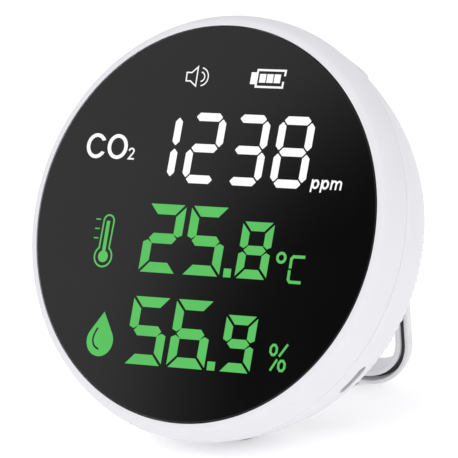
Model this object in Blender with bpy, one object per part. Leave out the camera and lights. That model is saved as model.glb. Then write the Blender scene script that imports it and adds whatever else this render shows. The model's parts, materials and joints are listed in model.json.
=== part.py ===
"""Round desktop carbon dioxide monitor that leans on a fold-out U-shaped stand.

Every dimension below is in millimetres; MM turns it into Blender's metres when a mesh is made.
The monitor is drawn in its own device frame: x to the right, y backwards from the window, z up the face,
with the origin at the centre of the window. DEVICE_FRAME then leans it back on its base pad and stand foot.
"""
import math

import bmesh
import bpy
from mathutils import Matrix, Vector

MM = 0.001
GAP = 0.3                       # left between pieces that touch
TURN_STEPS = 60                 # facets round the case
SMOOTH_ANGLE = math.radians(32)

# How the monitor stands
LEAN = math.radians(26.2)       # backward lean of the face
STAND_OPEN = math.radians(34.75)
PAD_PLANE = 56.3                # window centre to table, square to the table
PAD_BACK = 0.9                  # base pad's centre behind the window centre, along the table
PAD_SIZE = (14.0, 5.8)

# Case, as (radius, depth) pairs
SEAM = 8.0
LENS_RADIUS = 49.9
LENS_THICKNESS = 1.6
FRONT_SKIN = [(50.2, 0.0), (51.2, 0.2), (52.0, 0.7), (52.5, 1.5), (53.1, 2.8), (53.6, 4.4), (53.9, 6.2),
              (54.0, SEAM)]
LEDGE_FRONT = 2.6
LEDGE_BACK = 4.1
LEDGE_INNER = 44.2
FRONT_WALL_INNER = 51.5
TONGUE_RADIUS = 52.4
TONGUE_END = 10.0
REAR_SKIN = [(54.0, SEAM + GAP), (53.6, 9.9), (52.9, 13.7), (51.7, 18.4), (50.1, 23.1), (48.6, 26.3),
             (47.3, 27.9), (45.1, 30.2), (42.9, 32.2), (40.0, 33.6), (36.0, 34.3)]
REAR_CAVITY = [(52.75, 7.0), (52.75, 10.5), (51.3, 11.2), (49.7, 18.4), (49.5, 19.0), (46.8, 25.5),
               (43.4, 29.1), (40.6, 31.2), (36.0, 32.3)]
BACK_DEPTH = REAR_SKIN[-1][1]
CAVITY_BACK = REAR_CAVITY[-1][1]
CAVITY_FRONT = REAR_CAVITY[0][1]
BEYOND_BACK = 40.0              # cutters that open through the back end here

# Screw bosses, x and z
BOSSES = [(22.2, -38.3), (-22.2, -38.3), (30.0, 32.4), (-30.0, 32.4)]
BOSS_RADIUS = 2.4
BOSS_SHOULDER_RADIUS = 3.3
BOSS_TOP = 20.9
POST_RADIUS = 2.7
SCREW_RADIUS = 1.0
SCREW_HEAD_RADIUS = 1.8

# Stand loop, drawn folded; distances run from the hinge axis down the legs
HINGE_DEPTH = 28.0
HINGE_HEIGHT = 24.0
STAND_FRONT = 3.0               # front plane of the loop ahead of the hinge axis
STAND_LENGTH = 65.1
STAND_FLAT_HALF = 16.0
STAND_CORNER = 14.9
STAND_TAPER = math.radians(8.3)
STAND_WIDTH = 4.0
STAND_GROOVE = (1.1, 2.4, 2.5)  # groove start, end and depth
STAND_SIDE = 1.3
LEG_DEPTH = 5.4
FOOT_DEPTH = 8.0
DEEP_FOOT = 16.0                # height over which the legs' section deepens to the foot's
KNUCKLE_RADIUS = 2.7
KNUCKLE_X = (34.0, 38.6)
HEEL_REACH = 3.4
PIN_RADIUS = 0.9
PIN_BORE = 1.2
PIN_X = (28.4, 38.3)
WASHER_X = (33.3, 33.7)
RECESS_FLOOR = 24.5
RECESS_GAP = 0.9
RECESS_WALL = 1.3
PAD_ROOM = (12.8, -43.0)        # half width and lowest point of the foot pad's pocket below the recess
SCOOP_HEIGHT = -33.0
SCOOP_RADIUS = 9.0
SCOOP_FLOOR = 28.0

# Boards and display
FILM_DEPTH = (1.9, 2.2)
REFLECTOR_DEPTH = (2.5, 9.4)
REFLECTOR_RADIUS = 43.8
DISPLAY_BOARD_DEPTH = (9.7, 10.9)
MAIN_BOARD_DEPTH = (13.6, 15.2)
MAIN_BOARD_RADIUS = 46.2
BOARD_BACK = MAIN_BOARD_DEPTH[1] + GAP
BOARD_SCREWS = [(-36.0, 4.0), (36.0, 4.0), (0.0, -40.5)]
BOARD_SCREW_HOLE = 1.1

# Side openings: angle round the case from +x, depth
USB_ANGLE = math.radians(-41.4)
USB_DEPTH = 16.9
USB_SLOT = (9.2, 3.3)
BUTTON_ANGLE = math.radians(59.5)
BUTTON_DEPTH = 16.5
BUTTON_SIZE = (14.0, 3.4)
BUTTON_FACE_RADIUS = 52.75
VENT_ANGLES = [math.radians(4.0 - 2.4 * i) for i in range(20)]
VENT_WIDTH = 1.0
VENT_DEPTHS = (23.8, 31.5)
VENT_RADII = (45.0, 52.0)

# Digits: (x, z, width, height, stroke, slant) of each seven-segment cell group
WHITE_DIGITS = [(-20.9 + 13.0 * i, 9.9, 10.4, 18.0, 2.2, 0.055) for i in range(4)]
TEMPERATURE_DIGITS = [(-17.2, -13.1, 11.25, 17.35, 2.6, 0.047), (-4.3, -13.1, 11.25, 17.35, 2.6, 0.047),
                      (11.55, -13.1, 9.2, 14.2, 2.3, 0.047)]
HUMIDITY_DIGITS = [(-18.0, -36.4, 11.25, 17.1, 2.6, 0.047), (-5.1, -36.4, 11.25, 17.1, 2.6, 0.047),
                   (10.3, -36.4, 9.2, 14.1, 2.3, 0.047)]
ALL_DIGITS = WHITE_DIGITS + TEMPERATURE_DIGITS + HUMIDITY_DIGITS
MITRE_GAP = 0.27
# Icon and unit windows, as x and z ranges
ICON_CELLS = [
    (8.2, 10.4, -13.1, -10.9),      # temperature's decimal point
    (7.1, 9.3, -36.4, -34.2),       # humidity's decimal point
    (-10.8, -3.8, 34.4, 39.6),      # loudspeaker sign
    (8.8, 18.8, 34.8, 39.5),        # battery sign
    (-37.9, -25.4, 15.2, 21.5),     # gas label
    (-24.9, -23.1, 15.3, 18.3),     # gas label's lowered figure
    (30.2, 39.0, 9.4, 12.6),        # gas reading's unit
    (-31.2, -25.6, -12.8, 0.9),     # thermometer
    (-29.0, -22.4, -33.6, -25.0),   # droplet
    (23.0, 31.2, -13.5, -6.2),      # degree sign and letter
    (24.6, 29.6, -35.0, -28.6),     # percent sign
]


def clear_scene():
    for obj in list(bpy.data.objects):
        bpy.data.objects.remove(obj, do_unlink=True)


def make_material(name, colour, roughness, metallic=0.0):
    mat = bpy.data.materials.new(name)
    mat.use_nodes = True
    shader = mat.node_tree.nodes["Principled BSDF"]
    shader.inputs["Base Color"].default_value = (*colour, 1.0)
    shader.inputs["Roughness"].default_value = roughness
    shader.inputs["Metallic"].default_value = metallic
    mat.diffuse_color = (*colour, 1.0)
    return mat


class Basis:
    """A local frame: across and up span an outline's plane, and out is the way it is extruded or turned."""

    def __init__(self, origin, across, up, out):
        self.origin, self.across, self.up, self.out = (Vector(v) for v in (origin, across, up, out))

    def at(self, a, b, c):
        return self.origin + self.across * a + self.up * b + self.out * c


def depth_basis(x=0.0, z=0.0, y=0.0):
    """Outlines lie in the face's plane and grow backwards."""
    return Basis((x, y, z), (1, 0, 0), (0, 0, 1), (0, 1, 0))


def side_basis(angle, depth):
    """Outlines lie on the case's side at an angle and a depth, and grow outwards."""
    c, s = math.cos(angle), math.sin(angle)
    return Basis((0, depth, 0), (-s, 0, c), (0, 1, 0), (c, 0, s))


def axle_basis(y, z):
    """Outlines lie across the hinge axis and grow along x."""
    return Basis((0, y, z), (0, 1, 0), (0, 0, 1), (1, 0, 0))


def table_basis():
    """Outlines lie in the table's plane and grow down towards it."""
    c, s = math.cos(LEAN), math.sin(LEAN)
    return Basis((0, 0, 0), (1, 0, 0), (0, c, s), (0, s, -c))


def add_object(name, points, faces, mat, parent):
    mesh = bpy.data.meshes.new(name)
    bm = bmesh.new()
    verts = [bm.verts.new(Vector(p) * MM) for p in points]
    for face in faces:
        bm.faces.new([verts[i] for i in face])
    bmesh.ops.recalc_face_normals(bm, faces=bm.faces)
    bm.to_mesh(mesh)
    bm.free()
    mesh.shade_smooth()
    mesh.set_sharp_from_angle(angle=SMOOTH_ANGLE)
    obj = bpy.data.objects.new(name, mesh)
    bpy.context.scene.collection.objects.link(obj)
    if mat:
        mesh.materials.append(mat)
    obj.parent = parent
    return obj


def turned(name, profile, mat, parent, basis=None, steps=TURN_STEPS):
    """Turns (radius, height) pairs round the basis' out axis; ends that lie on the axis become flat caps."""
    basis = basis or depth_basis()
    rim = [pair for pair in profile if pair[0] > 1e-6]
    solid = len(rim) < len(profile)
    points = []
    for radius, height in rim:
        for k in range(steps):
            angle = 2 * math.pi * k / steps
            points.append(basis.at(radius * math.cos(angle), radius * math.sin(angle), height))
    faces = []
    for row in range(len(rim) - 1 if solid else len(rim)):
        low, high = row * steps, (row + 1) % len(rim) * steps
        for k in range(steps):
            m = (k + 1) % steps
            faces.append([low + k, low + m, high + m, high + k])
    if solid:
        faces.append(list(range(steps)))
        faces.append(list(range(len(points) - steps, len(points))))
    return add_object(name, points, faces, mat, parent)


def prisms(name, outlines, mat, parent, basis=None):
    """Extrudes several separate outlines; each is (list of (a, b), start, end)."""
    basis = basis or depth_basis()
    points, faces = [], []
    for outline, start, end in outlines:
        first, count = len(points), len(outline)
        points += [basis.at(a, b, start) for a, b in outline]
        points += [basis.at(a, b, end) for a, b in outline]
        faces.append([first + i for i in range(count)])
        faces.append([first + count + i for i in range(count)])
        for i in range(count):
            j = (i + 1) % count
            faces.append([first + i, first + j, first + count + j, first + count + i])
    return add_object(name, points, faces, mat, parent)


def disc(name, radius, depths, mat, parent):
    return prisms(name, [(circle_outline(0, 0, radius, TURN_STEPS), *depths)], mat, parent)


def pegs(name, spots, radius, start, end, parent):
    """Round cutters or pillars of one radius at several (x, z) spots."""
    return prisms(name, [(circle_outline(x, z, radius), start, end) for x, z in spots], None, parent)


def box_outline(a0, a1, b0, b1):
    return [(a0, b0), (a1, b0), (a1, b1), (a0, b1)]


def circle_outline(x, z, radius, steps=12):
    return [(x + radius * math.cos(2 * math.pi * k / steps), z + radius * math.sin(2 * math.pi * k / steps))
            for k in range(steps)]


def rounded_outline(width, height, radius, steps=4):
    points = []
    for quarter, (sx, sy) in enumerate([(1, 1), (-1, 1), (-1, -1), (1, -1)]):
        cx, cy = sx * (width / 2 - radius), sy * (height / 2 - radius)
        for k in range(steps + 1):
            angle = math.pi / 2 * (quarter + k / steps)
            points.append((cx + radius * math.cos(angle), cy + radius * math.sin(angle)))
    clean = [points[0]]
    for p in points[1:]:
        if math.dist(p, clean[-1]) > 1e-4:
            clean.append(p)
    return clean if math.dist(clean[0], clean[-1]) > 1e-4 else clean[:-1]


def boolean(target, cutter, operation="DIFFERENCE"):
    cutter.hide_render = True
    cutter.display_type = "WIRE"
    modifier = target.modifiers.new(f"{operation.lower()} {cutter.name}", "BOOLEAN")
    modifier.operation = operation
    modifier.solver = "EXACT"
    modifier.object = cutter


def segment_outlines(cell):
    """The seven hexagonal windows of one digit."""
    x, z, width, height, stroke, slant = cell
    half = stroke / 2
    mid, top = height / 2, height - half
    outlines = []
    for level in (half, mid, top):
        a, b = half + MITRE_GAP, width - half - MITRE_GAP
        outlines.append([(a, level), (a + half, level - half), (b - half, level - half), (b, level),
                         (b - half, level + half), (a + half, level + half)])
    for side in (half, width - half):
        for low, high in ((half, mid), (mid, top)):
            a, b = low + MITRE_GAP, high - MITRE_GAP
            outlines.append([(side, a), (side + half, a + half), (side + half, b - half), (side, b),
                             (side - half, b - half), (side - half, a + half)])
    return [[(x + px + slant * pz, z + pz) for px, pz in outline] for outline in outlines]


def display_cells():
    cells = []
    for digit in ALL_DIGITS:
        cells += segment_outlines(digit)
    return cells + [box_outline(*cell) for cell in ICON_CELLS]


def loop_side(inset, reach):
    """Right half of the loop's outline at an inset, from the bottom centre up to reach past the hinge."""
    radius = STAND_CORNER - inset
    centre_z = HINGE_HEIGHT - STAND_LENGTH + STAND_CORNER
    sweep = math.pi / 2 - STAND_TAPER
    points = [(0.0, centre_z - radius), (STAND_FLAT_HALF * 0.5, centre_z - radius)]
    for k in range(13):
        angle = sweep * k / 12
        points.append((STAND_FLAT_HALF + radius * math.sin(angle), centre_z - radius * math.cos(angle)))
    x, z = points[-1]
    top = HINGE_HEIGHT + reach
    for k in range(1, 7):
        share = k / 6
        points.append((x + (top - z) * share * math.tan(STAND_TAPER), z + (top - z) * share))
    return points


def loop_line(inset, reach):
    right = loop_side(inset, reach)
    return [(-x, z) for x, z in reversed(right[1:])] + right


def stand_section(depth):
    """Section of the stand as (inset, depth) pairs: outer wall, groove, inner wall and curved back."""
    start, end, groove = STAND_GROOVE
    w = STAND_WIDTH
    outer_edge = [(0.0, STAND_SIDE), (0.0, 0.35), (0.35, 0.0)]
    channel = [(start, 0.0), (start, groove), (end, groove), (end, 0.0)]
    inner_wall = [(w - 0.5, 0.0), (w, 0.5), (w, depth - 0.6), (w - 0.6, depth)]
    back = [(w - 1.8, depth * 0.86), (1.1, depth * 0.69), (0.4, depth * 0.5)]
    return outer_edge + channel + inner_wall + back


def make_device_frame():
    frame = bpy.data.objects.new("DEVICE_FRAME", None)
    frame.rotation_euler = (-LEAN, 0, 0)
    frame.location = Vector((0, -PAD_BACK, PAD_PLANE)) * MM
    bpy.context.scene.collection.objects.link(frame)
    return frame


def make_stand_axis(frame):
    axis = bpy.data.objects.new("STAND_AXIS", None)
    axis.parent = frame
    axis.location = Vector((0, HINGE_DEPTH, HINGE_HEIGHT)) * MM
    axis.rotation_euler = (STAND_OPEN, 0, 0)
    bpy.context.scene.collection.objects.link(axis)
    return axis


def make_button_axis(frame):
    """An empty on the button's line of travel; its children are drawn from the middle of the cap's face."""
    axis = bpy.data.objects.new("BUTTON_AXIS", None)
    axis.parent = frame
    spot = side_basis(BUTTON_ANGLE, BUTTON_DEPTH)
    axis.location = spot.at(0, 0, BUTTON_FACE_RADIUS) * MM
    axis.rotation_euler = Matrix((spot.across, spot.up, spot.out)).transposed().to_euler()
    bpy.context.scene.collection.objects.link(axis)
    return axis


def make_window(frame, mats):
    edge = 0.25
    pane = [(0, 0), (LENS_RADIUS - edge, 0), (LENS_RADIUS, edge), (LENS_RADIUS, LENS_THICKNESS),
            (0, LENS_THICKNESS)]
    turned("front_lens", pane, mats["lens"], frame)
    inner, outer = LEDGE_INNER + 0.2, LENS_RADIUS - 0.4
    front, back = FILM_DEPTH[0], FILM_DEPTH[1] + 0.1
    turned("lens_adhesive", box_outline(inner, outer, front, back), mats["tape"], frame)
    disc("diffuser_film", REFLECTOR_RADIUS, FILM_DEPTH, mats["film"], frame)


def make_front_housing(frame, mats):
    tongue = [(TONGUE_RADIUS, SEAM), (TONGUE_RADIUS, TONGUE_END), (FRONT_WALL_INNER, TONGUE_END)]
    ledge = [(FRONT_WALL_INNER, LEDGE_BACK), (LEDGE_INNER, LEDGE_BACK), (LEDGE_INNER, LEDGE_FRONT),
             (FRONT_SKIN[0][0], LEDGE_FRONT)]
    housing = turned("front_housing", FRONT_SKIN + tongue + ledge, mats["white"], frame)
    shoulder = MAIN_BOARD_DEPTH[0] - GAP
    pillars = pegs("front_bosses_low", BOSSES, BOSS_SHOULDER_RADIUS, LEDGE_FRONT + 0.4, shoulder, frame)
    necks = pegs("front_bosses_high", BOSSES, BOSS_RADIUS, shoulder - 0.5, BOSS_TOP, frame)
    holes = pegs("front_boss_holes", BOSSES, SCREW_RADIUS + GAP, 11.0, BOSS_TOP + 1, frame)
    boolean(housing, pillars, "UNION")
    boolean(housing, necks, "UNION")
    boolean(housing, holes)


def recess_outline(grow, reach):
    """Outline of the stand's recess in the back, grown past the loop on both sides."""
    outer = loop_line(-grow, reach)
    inner = loop_line(STAND_WIDTH + grow, reach)
    return outer + inner[::-1]


def hinge_boxes(x0, x1, z0, z1, y0, y1):
    return [(box_outline(x0, x1, z0, z1), y0, y1), (box_outline(-x1, -x0, z0, z1), y0, y1)]


def make_rear_housing(frame, mats):
    skin = [(0, SEAM + GAP)] + REAR_SKIN + [(0, BACK_DEPTH)]
    housing = turned("rear_housing", skin, mats["white"], frame)
    boolean(housing, make_rear_cavity(frame))
    cut_stand_room(housing, frame)
    cut_side_openings(housing, frame)
    cut_screw_holes(housing, frame)


def make_rear_cavity(frame):
    """The bowl's inside, less what stays solid round the recess, the hinges, the posts and the scoop."""
    cavity = turned("rear_cavity", [(0, CAVITY_FRONT)] + REAR_CAVITY + [(0, CAVITY_BACK)], None, frame)
    end = BEYOND_BACK
    wall = recess_outline(RECESS_GAP + RECESS_WALL, 4.5)
    hinges = hinge_boxes(27.6, 42.5, HINGE_HEIGHT - 5, HINGE_HEIGHT + 5.8, 21.7, end)
    scoop = circle_outline(0, SCOOP_HEIGHT, SCOOP_RADIUS + RECESS_WALL, 24)
    half, low = PAD_ROOM
    pad = box_outline(-half - 1.2, half + 1.2, low - RECESS_WALL, -39.0)
    kept = [
        prisms("kept_round_recess", [(wall, RECESS_FLOOR - RECESS_WALL, end)], None, frame),
        prisms("kept_round_hinges", hinges, None, frame),
        pegs("kept_posts", BOSSES, POST_RADIUS, BOSS_TOP + GAP, end, frame),
        prisms("kept_scoop", [(scoop, SCOOP_FLOOR - 1.4, end)], None, frame),
        prisms("kept_round_pad", [(pad, RECESS_FLOOR - 1.2, end + 0.3)], None, frame),
    ]
    for solid in kept:
        boolean(cavity, solid)
    return cavity


def cut_stand_room(housing, frame):
    """Opens the back for the folded loop, its knuckles and pins, its foot pad and a fingertip."""
    end = BEYOND_BACK
    pockets = hinge_boxes(33.0, 39.2, HINGE_HEIGHT - 4, HINGE_HEIGHT + 4.4, 23.2, end)
    bore = circle_outline(0, 0, PIN_BORE)
    scoop = circle_outline(0, SCOOP_HEIGHT, SCOOP_RADIUS, 24)
    half, low = PAD_ROOM
    cutters = [
        prisms("stand_recess", [(recess_outline(RECESS_GAP, 3.9), RECESS_FLOOR, end)], None, frame),
        prisms("hinge_pockets", pockets, None, frame),
        prisms("finger_scoop", [(scoop, SCOOP_FLOOR, end)], None, frame),
        prisms("pin_bores", [(bore, 28.1, 33.5), (bore, -33.5, -28.1)], None, frame,
               axle_basis(HINGE_DEPTH, HINGE_HEIGHT)),
        prisms("foot_pad_room", [(box_outline(-half, half, low, -40.0), RECESS_FLOOR + 0.1, end + 0.6)],
               None, frame),
    ]
    for cutter in cutters:
        boolean(housing, cutter)


def cut_side_openings(housing, frame):
    outline = rounded_outline(*USB_SLOT, USB_SLOT[1] / 2 - 0.01)
    slot = prisms("usb_opening", [(outline, 44, 56)], None, frame, side_basis(USB_ANGLE, USB_DEPTH))
    size = [side + 2 * GAP for side in BUTTON_SIZE]
    outline = rounded_outline(*size, size[1] / 2 - 0.01)
    side = side_basis(BUTTON_ANGLE, BUTTON_DEPTH)
    window = prisms("button_opening", [(outline, 47, 56)], None, frame, side)
    boolean(housing, slot)
    boolean(housing, window)
    for side, name in ((1, "right"), (-1, "left")):
        points = [side_basis(angle if side > 0 else math.pi - angle, 0) for angle in VENT_ANGLES]
        slit = (-VENT_WIDTH / 2, VENT_WIDTH / 2, *VENT_DEPTHS, *VENT_RADII)
        boolean(housing, box_group(f"vents_{name}", [(basis, slit) for basis in points], None, frame))
    outline = rounded_outline(*(side + 2 * GAP for side in PAD_SIZE), PAD_SIZE[1] / 2 + 0.29)
    pad = prisms("base_pad_pocket", [(outline, 55.0, 58.0)], None, frame, pad_basis())
    boolean(housing, pad)


def pad_basis():
    basis = table_basis()
    basis.origin = basis.up * PAD_BACK
    return basis


def box_group(name, boxes, mat, parent):
    """Several boxes in one object, each as (basis, (across range, up range, out range))."""
    points, faces = [], []
    for basis, (a0, a1, b0, b1, c0, c1) in boxes:
        first = len(points)
        points += [basis.at(a, b, c) for c in (c0, c1) for a, b in box_outline(a0, a1, b0, b1)]
        faces += [[first + i for i in face] for face in
                  ((0, 1, 2, 3), (7, 6, 5, 4), (0, 4, 5, 1), (1, 5, 6, 2), (2, 6, 7, 3), (3, 7, 4, 0))]
    return add_object(name, points, faces, mat, parent)


def screw_seat(z):
    """Depth of a screw head's seat: in the recess floor at the bottom, in the domed back at the top."""
    return 23.0 if z < 0 else 25.6


def cut_screw_holes(housing, frame):
    end = BEYOND_BACK
    heads = [(circle_outline(x, z, SCREW_HEAD_RADIUS + GAP), screw_seat(z), end + 1) for x, z in BOSSES]
    boolean(housing, pegs("screw_shank_holes", BOSSES, SCREW_RADIUS + GAP, 18, end, frame))
    boolean(housing, prisms("screw_head_holes", heads, None, frame))


def make_display(frame, mats):
    reflector = disc("display_reflector", REFLECTOR_RADIUS, REFLECTOR_DEPTH, mats["reflector"], frame)
    pillar_end = MAIN_BOARD_DEPTH[0] - GAP
    pillars = pegs("reflector_pillars", BOARD_SCREWS, 2.2, REFLECTOR_DEPTH[1] - 0.5, pillar_end, frame)
    cells = prisms("reflector_cells", [(outline, 2.0, 10.0) for outline in display_cells()], None, frame)
    notches = pegs("reflector_notches", BOSSES, BOSS_SHOULDER_RADIUS + GAP, 2.0, 12.0, frame)
    bores = pegs("reflector_bores", BOARD_SCREWS, BOARD_SCREW_HOLE, 10.2, 14.0, frame)
    boolean(reflector, notches)
    boolean(reflector, cells)
    boolean(reflector, pillars, "UNION")
    boolean(reflector, bores)

    board = disc("display_board", REFLECTOR_RADIUS, DISPLAY_BOARD_DEPTH, mats["board"], frame)
    boolean(board, notches)
    boolean(board, pegs("board_pillar_holes", BOARD_SCREWS, 2.5, 9.0, 12.0, frame))

    centres = [(x + 2.0, z + height * 0.72) for x, z, _, height, _, _ in ALL_DIGITS]
    centres += [((x0 + x1) / 2, (z0 + z1) / 2) for x0, x1, z0, z1 in ICON_CELLS]
    chips = [(box_outline(x - 0.4, x + 0.4, z - 0.4, z + 0.4), 9.1, 10.2) for x, z in centres]
    lamps = prisms("led_chips", chips, None, frame)
    boolean(board, lamps, "UNION")
    headers = {"left": box_outline(-26, -6, 38.0, 40.4), "right": box_outline(30, 32.4, -24, -10)}
    for side, outline in headers.items():
        body = [(outline, DISPLAY_BOARD_DEPTH[1] + GAP, pillar_end)]
        prisms(f"display_header_{side}", body, mats["black"], frame)


def make_main_board(frame, mats):
    board = disc("main_board", MAIN_BOARD_RADIUS, MAIN_BOARD_DEPTH, mats["board"], frame)
    boolean(board, pegs("board_notches", BOSSES, BOSS_RADIUS + GAP, 12, 17, frame))
    boolean(board, pegs("board_screw_holes", BOARD_SCREWS, BOARD_SCREW_HOLE, 12, 17, frame))
    head, tip = BOARD_BACK, 10.6
    shank = [(0, tip), (0.5, tip), (0.8, tip + 0.6), (0.8, head)]
    cap = [(1.6, head), (1.6, head + 0.8), (1.2, head + 1.1), (0, head + 1.1)]
    for index, (x, z) in enumerate(BOARD_SCREWS):
        turned(f"board_screw_{index + 1}", shank + cap, mats["steel"], frame, depth_basis(x, z), 12)
    chips = {"microcontroller": (box_outline(29, 36, 11, 18), BOARD_BACK, 16.5),
             "power_inductor": (box_outline(31, 35, -8, -4), BOARD_BACK, 17.6),
             "charger_chip": (box_outline(-36, -32, -18, -14), BOARD_BACK, 16.3)}
    for name, body in chips.items():
        prisms(name, [body], mats["black"], frame)
    can = [(0, BOARD_BACK), (6, BOARD_BACK), (6, 21.0), (5.6, 21.4), (1.2, 21.4), (1.2, 20.4), (0, 20.4)]
    turned("buzzer", can, mats["black"], frame, depth_basis(-24, 22), 24)
    body = (rounded_outline(3.0, 3.0, 0.3, 2), BOARD_BACK, 16.5)
    spot = depth_basis(-42.0, -8.0)
    sensor = prisms("climate_sensor", [body], mats["sensor"], frame, spot)
    port = (circle_outline(0, 0, 0.7, 10), 16.0, 17.0)
    boolean(sensor, prisms("climate_sensor_port", [port], None, frame, spot))


def make_co2_sensor(frame, mats):
    base = (17.5, 18.5)
    board = prisms("co2_sensor_board", [(box_outline(-16, 16, 3, 25), *base)], mats["board_dark"], frame)
    legs = [(box_outline(x - 0.35, x + 0.35, z - 0.35, z + 0.35), BOARD_BACK, base[0] + 0.4)
            for x in (-14, 14) for z in (6.4, 11.5, 16.5, 21.6)]
    boolean(board, prisms("co2_sensor_legs", legs, None, frame), "UNION")
    can = (rounded_outline(25, 16, 3), base[1] + GAP, 27.6)
    chamber = prisms("co2_sensor_chamber", [can], mats["gold"], frame, depth_basis(0, 14))
    port = (circle_outline(0, 0, 2.4, 20), 25.0, 28.5)
    spot = depth_basis(6, 14)
    boolean(chamber, prisms("chamber_port", [port], None, frame, spot))
    membrane = [(0, 27.9), (3.6, 27.9), (3.6, 28.3), (0, 28.3)]
    turned("co2_sensor_filter", membrane, mats["filter"], frame, spot, 24)


def make_battery(frame, mats):
    prisms("battery_tape", [(box_outline(-22, 22, -30, -3), BOARD_BACK, 16.2)], mats["tape"], frame)
    prisms("battery", [(rounded_outline(34, 6.0, 2.4), -25, 25)], mats["foil"], frame,
           Basis((0, 19.5, -16.5), (0, 0, 1), (0, 1, 0), (1, 0, 0)))
    socket = (box_outline(-26.4, -19.6, 6.2, 11.0), BOARD_BACK, 20.0)
    prisms("battery_socket", [socket], mats["reflector"], frame)
    for pole, x, mat in (("positive", -24.4, "red"), ("negative", -21.6, "black")):
        ends = Vector((x, 19.5, 0.9)), Vector((x, 17.6, 5.9))
        wire_between(f"battery_wire_{pole}", *ends, mats[mat], frame)


def wire_between(name, start, end, mat, parent):
    """A short lead that leaves the battery upwards and enters the socket upwards."""
    curve = bpy.data.curves.new(name, "CURVE")
    curve.dimensions = "3D"
    curve.bevel_depth = 0.55 * MM
    curve.bevel_resolution = 2
    curve.use_fill_caps = True
    spline = curve.splines.new("POLY")
    steps = 7
    spline.points.add(steps)
    for k in range(steps + 1):
        share = k / steps
        ease = share * share * (3 - 2 * share)
        run = end - start
        point = start + Vector((0, run.y * ease, run.z * share))
        spline.points[k].co = (*(point * MM), 1.0)
    curve.materials.append(mat)
    obj = bpy.data.objects.new(name, curve)
    obj.parent = parent
    bpy.context.scene.collection.objects.link(obj)


def make_usb_port(frame, mats):
    side = side_basis(USB_ANGLE, USB_DEPTH)
    shell = prisms("usb_shell", [(rounded_outline(8.4, 2.6, 1.25), 44.6, 51.3)], mats["steel"], frame, side)
    hollow = prisms("usb_hollow", [(rounded_outline(7.8, 2.0, 0.97), 45.2, 52)], None, frame, side)
    boolean(shell, hollow)
    prisms("usb_tongue", [(rounded_outline(6.6, 0.7, 0.2, 2), 45.5, 50.6)], mats["black"], frame, side)


def make_button(frame, axis, mats):
    """The cap rides in the side wall; its flange stays inside and meets the switch's plunger."""
    local = Basis((0, 0, 0), (1, 0, 0), (0, 1, 0), (0, 0, 1))
    face = BUTTON_FACE_RADIUS
    length, height = BUTTON_SIZE
    outline = rounded_outline(length, height, height / 2 - 0.01, 6)
    points, faces = [], []
    inner = 49.1 - face
    count = len(outline)
    crown = 0.35

    def skin(a, b, lift):
        """Height of the cap's face: it follows the case's round side and slopes with its draft."""
        return math.sqrt((face - lift) ** 2 - a * a) - face - 0.235 * b

    points += [local.at(a, b, inner) for a, b in outline]
    points += [local.at(a, b, skin(a, b, crown)) for a, b in outline]
    points += [local.at(a * 0.94, b * 0.78, skin(a * 0.94, b * 0.78, 0.0)) for a, b in outline]
    for low in (0, count):
        for i in range(count):
            j = (i + 1) % count
            faces.append([low + i, low + j, low + count + j, low + count + i])
    faces.append(list(range(count)))
    faces.append(list(range(2 * count, 3 * count)))
    cap = add_object("side_button", points, faces, mats["white"], axis)
    rim = (rounded_outline(length + 1.6, height + 1.4, 2.0), 48.3 - face, 49.15 - face)
    boolean(cap, prisms("button_flange", [rim], None, axis, local), "UNION")

    turned("switch_plunger", [(0, 45.0 - face), (0.9, 45.0 - face), (0.9, 48.0 - face), (0, 48.0 - face)],
           mats["black"], axis, local, 12)
    side = side_basis(BUTTON_ANGLE, BUTTON_DEPTH)
    body = (box_outline(-2.2, 2.2, -1.0, 2.4), 42.0, 46.4)
    switch = prisms("button_switch", [body], mats["steel"], frame, side)
    well = prisms("switch_well", [(circle_outline(0, 0, 1.2, 12), 44.0, 47.5)], None, frame, side)
    boolean(switch, well)


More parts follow.
